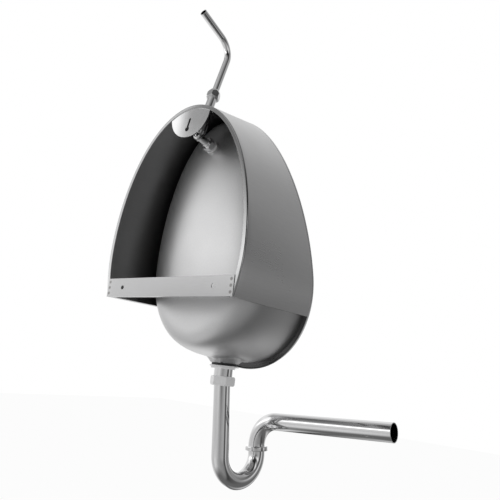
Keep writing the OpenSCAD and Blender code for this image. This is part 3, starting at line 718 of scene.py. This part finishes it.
# The compression ring is moulded black rubber, in one piece round the flush pipe. The nut
# squeezes it on the riser's end.
def soft_finish(name, tone, roughness, grit, depth, sheen=0.0):
    """A moulded rubber or plastic: an even colour with fine grit and a dusty sheen."""
    finish = bpy.data.materials.new(name)
    finish.use_nodes = True
    tree = finish.node_tree
    shader = tree.nodes["Principled BSDF"]
    shader.inputs["Sheen Weight"].default_value = sheen
    place = tree.nodes.new("ShaderNodeTexCoord")
    speck = tree.nodes.new("ShaderNodeTexNoise")
    speck.inputs["Scale"].default_value = grit
    speck.inputs["Detail"].default_value = 4
    tree.links.new(place.outputs["Object"], speck.inputs["Vector"])
    ramp = tree.nodes.new("ShaderNodeValToRGB")
    ramp.color_ramp.elements[0].color = tuple(t * 0.85 for t in tone) + (1,)
    ramp.color_ramp.elements[1].color = tuple(t * 1.1 for t in tone) + (1,)
    tree.links.new(speck.outputs[0], ramp.inputs[0])
    tree.links.new(ramp.outputs[0], shader.inputs["Base Color"])
    cloudy = tree.nodes.new("ShaderNodeGroup")
    cloudy.node_tree = cloud
    cloudy.inputs["Size"].default_value = grit / 8
    cloudy.inputs["Low"].default_value = roughness - 0.06
    cloudy.inputs["High"].default_value = roughness + 0.08
    tree.links.new(place.outputs["Object"], cloudy.inputs["Place"])
    tree.links.new(cloudy.outputs[0], shader.inputs["Roughness"])
    bump = tree.nodes.new("ShaderNodeBump")
    bump.inputs["Strength"].default_value = depth
    bump.inputs["Distance"].default_value = 0.0004
    tree.links.new(speck.outputs[0], bump.inputs["Height"])
    tree.links.new(bump.outputs[0], shader.inputs["Normal"])
    return finish


rubber = soft_finish("black rubber", (0.022, 0.022, 0.023), 0.55, 900.0, 0.25, 0.1)
ring_outer, ring_h, ring_gap = 10 * mm, 5 * mm, 0.15 * mm
ring_seal = turned("flush_ring",
                   ring_outline(flush_tube_r + 0.2 * mm, ring_outer, riser_l + ring_gap,
                                riser_l + ring_h - ring_gap),
                   flush_place, finish=rubber)
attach(ring_seal, "flush_pipe")
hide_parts("compression_ring")


# Behind the bowl a cast elbow turns the water towards the spray head. Its nut draws it on to the
# threaded shank, and a thin plated backnut holds the shank in the bowl's pad.
elbow = fine_copy("cast_elbow", "inlet_elbow", nut_steel, bevel=0.4 * mm, crease=40)
elbow_nut = fine_copy("elbow_hexagon", "elbow_nut", nut_steel, bevel=0.3 * mm)
plated = steel("bright plating", 0.95, 0.12, 0.18, fine=500.0, long=0.1, depth=0.02, size=60.0)
plated.node_tree.nodes["Principled BSDF"].inputs["Metallic"].default_value = 0.1
backnut = fine_copy("inlet_hexagon", "inlet_backnut", plated, bevel=0.3 * mm)
for piece, node in ((elbow, "inlet_elbow"), (elbow_nut, "elbow_nut"), (backnut, "inlet_backnut")):
    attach(piece, "shell")
    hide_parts(node)


# The inlet washer is a moulded disc of pale plastic. It lies round the shank, between the
# backnut and the bowl's pad.
plastic = soft_finish("pale plastic", (0.72, 0.72, 0.70), 0.35, 400.0, 0.08)
washer_r, washer_t = 14 * mm, 2 * mm
washer = turned("inlet_disc", ring_outline(shank_r, washer_r, pad_rear - washer_t, pad_rear),
                leg_place, finish=plastic)
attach(washer, "shell")
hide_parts("inlet_washer")


# The spray head inside the bowl is turned and polished: a flanged shank with six jets under a
# domed cap, which one slotted screw holds.
spray = fine_copy("spray_shank", "spray_body", nut_steel, bevel=0.25 * mm)
spray_flange_t, spray_neck = 4 * mm, 7 * mm
spray_cap_z = pad_rear + pad_t + spray_flange_t + spray_neck
cap_edge, cap_h, cap_wall = 23 * mm, 10 * mm, 2 * mm
cap_r = (cap_edge * cap_edge + cap_h * cap_h) / (2 * cap_h)
cap_centre = spray_cap_z + cap_h - cap_r
screw_r, boss_r = 2.3 * mm, 4.5 * mm


def dome(radius, low, r_from, r_to, steps=20):
    """Points of a dome's section between two distances from its axis."""
    distances = [r_from + (r_to - r_from) * k / steps for k in range(steps + 1)]
    return [(r, low + sqrt(radius * radius - r * r)) for r in distances]


cap_outline = dome(cap_r, cap_centre, screw_r, cap_edge - 0.6 * mm)
cap_outline += [(cap_edge - 0.1 * mm, spray_cap_z + 0.4 * mm), (cap_edge - 0.5 * mm, spray_cap_z),
                (cap_edge - cap_wall, spray_cap_z)]
cap_outline += dome(cap_r - cap_wall, cap_centre, cap_edge - cap_wall - 4 * mm, 5 * mm, 8)
cap_outline += [(boss_r, spray_cap_z), (screw_r, spray_cap_z)]
cap = turned("spray_dome", cap_outline, leg_place, radius=0, finish=polished)
spray_screw = fine_copy("spray_slot_screw", "spray_screw", nut_steel, bevel=0.15 * mm)
for piece, node in ((spray, "spray_body"), (cap, "spray_cap"), (spray_screw, "spray_screw")):
    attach(piece, "shell")
    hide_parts(node)


# The waste is a polished turned body through the bowl's well, with a cross bar in its throat. The
# bar takes the screw of a round perforated strainer, and a flanged backnut sits on the tail.
tube_r, tube_wall = 19 * mm, 1.5 * mm
tube_bore = tube_r - tube_wall
trap_lean = radians(5)
slip_gap = 0.08 * mm


def lean_r(height):
    """Radius of a bore that clears the leaning tube up to a height from its pivot."""
    return tube_r / cos(trap_lean) + height * tan(trap_lean) + slip_gap


tail_r, tail_l = 21.75 * mm, 40 * mm
tail_top = sheet + 2 * mm
flange_top, flange_seat = tail_top + 2.5 * mm, tail_top + 1.3 * mm
flange_r = well_r - sheet - 1.5 * mm
strainer_r = flange_r - 4 * mm + 0.3 * mm
slip_mouth, slip_depth = lean_r(12 * mm), 15 * mm
waste = turned("waste_barrel",
               [(tube_bore, slip_depth - tail_l), (slip_mouth, slip_depth - tail_l),
                (slip_mouth, -tail_l), (tail_r, -tail_l), (tail_r, tail_top),
                (flange_r, tail_top), (flange_r, flange_top), (strainer_r, flange_top),
                (strainer_r, flange_seat), (tube_bore, flange_seat)],
               waste_place, finish=polished)
bar_low, bar_h = tail_top - 8 * mm, 6 * mm
bar_half_l, bar_half_w = tube_bore + 0.5 * mm, 2.5 * mm
square = ((-1, -1), (1, -1), (1, 1), (-1, 1))
bar = block("bar", [waste_place @ Vector((sx * bar_half_l, sy * bar_half_w, h))
                    for h in (bar_low, bar_low + bar_h) for sx, sy in square], polished)
join(waste, bar)
strainer = fine_copy("strainer_disc", "strainer", nut_steel, bevel=0.15 * mm)
strainer_screw = fine_copy("strainer_slot_screw", "strainer_screw", nut_steel, bevel=0.12 * mm)
waste_nut = fine_copy("waste_hexagon", "waste_backnut", plated, bevel=0.4 * mm)
for piece, node in ((waste, "waste_body"), (strainer, "strainer"),
                    (strainer_screw, "strainer_screw"), (waste_nut, "waste_backnut")):
    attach(piece, "shell")
    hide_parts(node)


# Two rings seal the waste to the bowl: a pale one under its flange, inside, and a thick black
# gasket outside, between the well and the backnut.
seal = turned("waste_disc", ring_outline(drain_r, flange_r - 2 * mm, sheet, tail_top),
              waste_place, finish=plastic)
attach(seal, "shell")
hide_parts("waste_seal")
gasket_r, gasket_t = 28.5 * mm, 5 * mm
gasket = turned("waste_gasket_ring", ring_outline(drain_r, gasket_r, -gasket_t, 0),
                waste_place, radius=1.2 * mm, finish=rubber)
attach(gasket, "shell")
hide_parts("waste_gasket")


# The slip nut is a large chamfered hexagon, brightly plated, on the waste's tail. Screwed up, it
# holds the trap's tube in the tail's mouth.
slip_nut = fine_copy("slip_hexagon", "slip_nut", plated, bevel=0.8 * mm)
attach(slip_nut, "slip_nut")
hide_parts("slip_nut")


# The slip seal is a ring of black rubber at the foot of the tail. The slip nut presses it on the
# trap's tube, which can still turn in it.
seal_half = 2 * mm
slip_z = -tail_l - seal_half
slip_seal = turned("slip_ring",
                   ring_outline(lean_r(seal_half), tail_r - 0.3 * mm, slip_z - seal_half,
                                slip_z + seal_half), waste_place, finish=rubber)
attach(slip_seal, "shell")
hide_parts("slip_seal")


# The trap is one polished tube bent into a U, with a collar at its rising end for the union.
# It hangs a little askew in its slip joint.
heading = Matrix.Rotation(radians(217), 4, "Z")
trap_turn = Matrix.Rotation(radians(-100), 4, "Z")
trap_place = (waste_place @ Matrix.Translation((0, 0, slip_z)) @ heading
              @ Matrix.Rotation(-trap_lean, 4, "Y") @ heading.inverted() @ trap_turn)
trap_leg, trap_r, trap_top = 152 * mm, 55 * mm, 12 * mm
riser_place = trap_place @ Matrix.Translation((2 * trap_r, 0, -trap_leg))
union_foot = 2.3 * mm
union_washer_t = 1.5 * mm
flange_z = union_foot + 6 * mm
collar_h = flange_z - union_washer_t
path = run(Z * trap_top, -Z * trap_leg, 24)[:-1]
path += bend(X * trap_r - Z * trap_leg, -X * trap_r, -Z * trap_r, 180, 80)
path += run(X * 2 * trap_r - Z * trap_leg, X * 2 * trap_r - Z * (trap_leg - collar_h), 2)[1:]
trap = pipe("trap_tube", [trap_place @ p for p in path], tube_r, tube_wall)
collar_r, collar_root, hair = 22.5 * mm, tube_r - 0.4 * mm, 0.01 * mm
collar = turned("collar", ring_outline(collar_root, collar_r, union_foot, collar_h - hair),
                riser_place, finish=polished)
join(trap, collar)
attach(trap, "trap")
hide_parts("trap_bend")


# The union's washer is a flat ring of moulded black rubber. It lies on the trap's collar, and
# the arm's flange is drawn down on it.
washer_outer = collar_r - 0.3 * mm
union_seal = turned("union_ring", ring_outline(tube_bore, washer_outer, collar_h, flange_z),
                    riser_place, finish=rubber)
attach(union_seal, "trap")
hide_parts("union_washer")


# The union nut is a round ring with a full edge. It draws the flange of the outlet arm down on
# its seal, so that the arm can be turned to meet the waste in the wall.
union_r, union_h, union_inside = 26 * mm, 10 * mm, 8 * mm
nut_wide, nut_narrow = collar_r + 0.08 * mm, tube_r + 0.3 * mm
union_nut = turned("union_ring_nut",
                   [(nut_wide, union_foot), (union_r, union_foot),
                    (union_r, union_foot + union_h), (nut_narrow, union_foot + union_h),
                    (nut_narrow, union_foot + union_inside), (nut_wide, union_foot + union_inside)],
                   riser_place, radius=2.6 * mm, finish=polished)
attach(union_nut, "union_nut")
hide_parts("union_nut")


# The outlet arm is polished tube like the trap, with a flange at its foot for the union. It bends
# over in one elbow and ends in a long straight run.
arm_place = riser_place @ Matrix.Rotation(radians(277), 4, "Z")
riser_top, arm_l = 13 * mm, 278 * mm
elbow_end = X * trap_r + Z * (riser_top + trap_r)
path = run(Z * flange_z, Z * riser_top, 2)[:-1]
path += bend(X * trap_r + Z * riser_top, -X * trap_r, Z * trap_r, 90, 40)
path += run(elbow_end, elbow_end + X * arm_l, 30)[1:]
arm = pipe("outlet_tube", [arm_place @ p for p in path], tube_r, tube_wall)
arm_flange = turned("flange",
                    ring_outline(collar_root, washer_outer, flange_z + hair, flange_z + 2 * mm),
                    riser_place, finish=polished)
join(arm, arm_flange)
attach(arm, "outlet")
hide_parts("outlet_arm")


# The studio is a pale paper floor under a white surround, lit by two soft lamps. A drum of cloth
# stands round it and shows only in the metal.
floor_half, floor_level = 8, -0.95
floor = new_piece("studio_floor", [(sx * floor_half, sy * floor_half, floor_level)
                                   for sx, sy in square], [(0, 1, 2, 3)])
paper_tone, paper_dull, paper_white = 0.9, 0.8, 0.95
paper = bpy.data.materials.new("floor paper")
paper.use_nodes = True
tree = paper.node_tree
matt = tree.nodes["Principled BSDF"]
matt.inputs["Base Color"].default_value = (paper_tone, paper_tone, paper_tone, 1)
matt.inputs["Roughness"].default_value = paper_dull


def sees_white(tree):
    """A mask of the rays that see the surround: from the camera, from gloss and through glass."""
    rays = tree.nodes.new("ShaderNodeLightPath")
    gloss_or_glass = calc(tree, "MAXIMUM", rays.outputs["Is Glossy Ray"],
                          rays.outputs["Is Transmission Ray"])
    return calc(tree, "MAXIMUM", rays.outputs["Is Camera Ray"], gloss_or_glass)


white = tree.nodes.new("ShaderNodeEmission")
mix = tree.nodes.new("ShaderNodeMixShader")
tree.links.new(calc(tree, "MULTIPLY", sees_white(tree), paper_white), mix.inputs[0])
tree.links.new(matt.outputs[0], mix.inputs[1])
tree.links.new(white.outputs[0], mix.inputs[2])
tree.links.new(mix.outputs[0], tree.nodes["Material Output"].inputs["Surface"])
floor.data.materials.append(paper)

sky_seen, sky_felt = 1.0, 0.45
world = bpy.data.worlds.new("surround")
bpy.context.scene.world = world
world.use_nodes = True
tree = world.node_tree
sky = tree.nodes["Background"]
sky.inputs["Color"].default_value = (1, 1, 1, 1)
sky_level = calc(tree, "MULTIPLY_ADD", sees_white(tree), sky_seen - sky_felt, sky_felt)
tree.links.new(sky_level, sky.inputs["Strength"])


# The drum is one round wall of cloth with a floor and a top, seen by gloss only. Each row is an
# azimuth, from +X towards +Y, then its light on the floor and at eight heights. 127 lies behind
# the camera, and the sharp step at 43.2 is the edge of the large soft box. The levels were worked
# back from greys of the steel in the photograph, then rounded and changed.
heights = (-0.93, -0.55, -0.1, 0.3, 0.7, 1.3, 1.85, 3.2)
drum = [(6, 0.6, 0.7, 0.7, 0.8, 1.0, 0.8, 1.0, 0.9, 0.4),
        (30, 0.6, 0.65, 0.65, 0.9, 2.1, 1.4, 1.2, 1.2, 0.3),
        (43.2, 0.75, 0.6, 0.65, 0.9, 1.3, 1.7, 1.3, 1.4, 1.2),
        (44.5, 0.75, 0.6, 0.65, 0.9, 1.1, 1.8, 0.8, 0.4, 0.4),
        (62, 0.75, 0.6, 0.65, 0.75, 0.7, 2.2, 0.8, 0.3, 0.5),
        (84, 0.6, 0.6, 0.7, 0.7, 0.6, 2.4, 0.5, 0.3, 0.8),
        (98, 0.45, 0.5, 0.5, 0.7, 0.3, 0.18, 0.02, 0.02, 0.5),
        (108, 0.4, 0.4, 0.4, 0.25, 0.15, 0.05, 0.02, 0.02, 0.45),
        (123, 0.35, 0.35, 0.3, 0.1, 0.3, 0.05, 0.02, 0.02, 0.35),
        (140, 0.3, 0.35, 0.4, 0.3, 0.9, 0.05, 0.02, 0.02, 0.2),
        (165, 0.28, 0.4, 0.45, 0.5, 1.1, 0.3, 1.0, 0.03, 0.05),
        (173, 0.25, 0.3, 0.4, 0.45, 0.4, 0.2, 1.2, 0.03, 0.05),
        (178, 0.25, 0.1, 0.1, 0.05, 0.1, 0.2, 0.9, 0.05, 0.05),
        (192, 0.05, 0.05, 0.08, 0.12, 0.1, 0.2, 0.2, 0.3, 0.05),
        (206, 0.1, 0.3, 0.7, 0.9, 0.25, 0.15, 0.1, 0.4, 0.4),
        (218, 0.14, 0.2, 0.25, 0.32, 0.2, 0.18, 0.2, 0.36, 0.5),
        (245, 0.15, 0.2, 0.22, 0.3, 0.32, 0.35, 0.4, 0.38, 0.4),
        (262, 0.7, 0.6, 0.9, 1.0, 0.5, 0.45, 0.45, 0.5, 0.7),
        (292, 0.02, 0.6, 1.3, 1.4, 1.1, 1.1, 0.8, 0.9, 1.0),
        (305, 1.3, 0.9, 1.2, 1.3, 1.1, 1.0, 0.9, 0.9, 0.9),
        (336, 0.9, 0.7, 1.0, 1.0, 0.9, 0.8, 1.0, 0.9, 0.6)]
drum_r, drum_middle_y, drum_step = 3.0, -0.1, 5
floor_light, top_light = 0.15, 0.4
ground_r, middle_r = (0.7, 1.8), (0.01, 0.2)
points, levels = [], []
for row, after in zip(drum, drum[1:] + [(drum[0][0] + 360,) + drum[0][1:]]):
    steps = max(1, round((after[0] - row[0]) / drum_step))
    for k in range(steps):
        a, ground, *lights = [p + (q - p) * k / steps for p, q in zip(row, after)]
        rings = [(r, heights[0], floor_light) for r in middle_r]
        rings += [(r, heights[0], ground) for r in ground_r]
        rings += [(drum_r, h, light) for h, light in zip(heights, lights)]
        rings += [(middle_r[0], heights[-1], top_light)]
        for r, h, light in rings:
            points.append((r * cos(radians(a)), r * sin(radians(a)) + drum_middle_y, h))
            levels.append(light)
across = len(rings)
around = len(points) // across
panes = []
for i in range(around):
    here, there = i * across, (i + 1) % around * across
    panes += [(here + k, here + k + 1, there + k + 1, there + k) for k in range(across - 1)]
wrap = new_piece("studio_drum", points, panes)
wrap.data.attributes.new("light", "FLOAT", "POINT").data.foreach_set("value", levels)
cloth = bpy.data.materials.new("drum cloth")
cloth.use_nodes = True
tree = cloth.node_tree
tree.nodes.remove(tree.nodes["Principled BSDF"])
glow = tree.nodes.new("ShaderNodeEmission")
light_level = tree.nodes.new("ShaderNodeAttribute")
light_level.attribute_name = "light"
tree.links.new(light_level.outputs["Fac"], glow.inputs["Strength"])
tree.links.new(glow.outputs[0], tree.nodes["Material Output"].inputs["Surface"])
wrap.data.materials.append(cloth)
wrap.visible_camera = False
wrap.visible_diffuse = False
wrap.visible_shadow = False
wrap.visible_transmission = False


def lamp(name, at, aim, size_x, size_y, power):
    """A soft rectangular lamp at a place, turned towards an aim, that gloss doesn't see."""
    light = bpy.data.lights.new(name, "AREA")
    light.shape = "RECTANGLE"
    light.size, light.size_y, light.energy = size_x, size_y, power
    holder = bpy.data.objects.new(name, light)
    bpy.context.scene.collection.objects.link(holder)
    holder.location = at
    holder.rotation_euler = (Vector(aim) - Vector(at)).to_track_quat("-Z", "Y").to_euler()
    holder.visible_glossy = False


lamp_aim = (0, -0.1, 0.1)
lamp("key_lamp", (1.75, 1.75, 0.75), lamp_aim, 1.3, 0.8, 8)
lamp("top_lamp", (-0.3, -0.6, 2.6), lamp_aim, 1.6, 1.6, 9)

# The camera stands behind the wall's plane, low and to one side, rolled a little
camera_az, camera_el, camera_roll = radians(217.176), radians(-13.61), radians(6.161)
camera_aim, camera_reach = Vector((-0.19995, 0, 0.06263)), 0.87717
back = Vector((sin(camera_az) * cos(camera_el), -cos(camera_az) * cos(camera_el), sin(camera_el)))
level = (-back).cross(Z).normalized()
upright = level.cross(-back)
right = level * cos(camera_roll) + upright * sin(camera_roll)
up = upright * cos(camera_roll) - level * sin(camera_roll)
eye = camera_aim + back * camera_reach
camera_data = bpy.data.cameras.new("camera")
camera_data.sensor_width = 36
camera_data.lens = 36
camera_data.clip_end = 50
camera = bpy.data.objects.new("camera", camera_data)
bpy.context.scene.collection.objects.link(camera)
camera.matrix_world = Matrix(((right.x, up.x, back.x, eye.x), (right.y, up.y, back.y, eye.y),
                              (right.z, up.z, back.z, eye.z), (0, 0, 0, 1)))
bpy.context.scene.camera = camera
bpy.context.scene.view_settings.view_transform = "Standard"
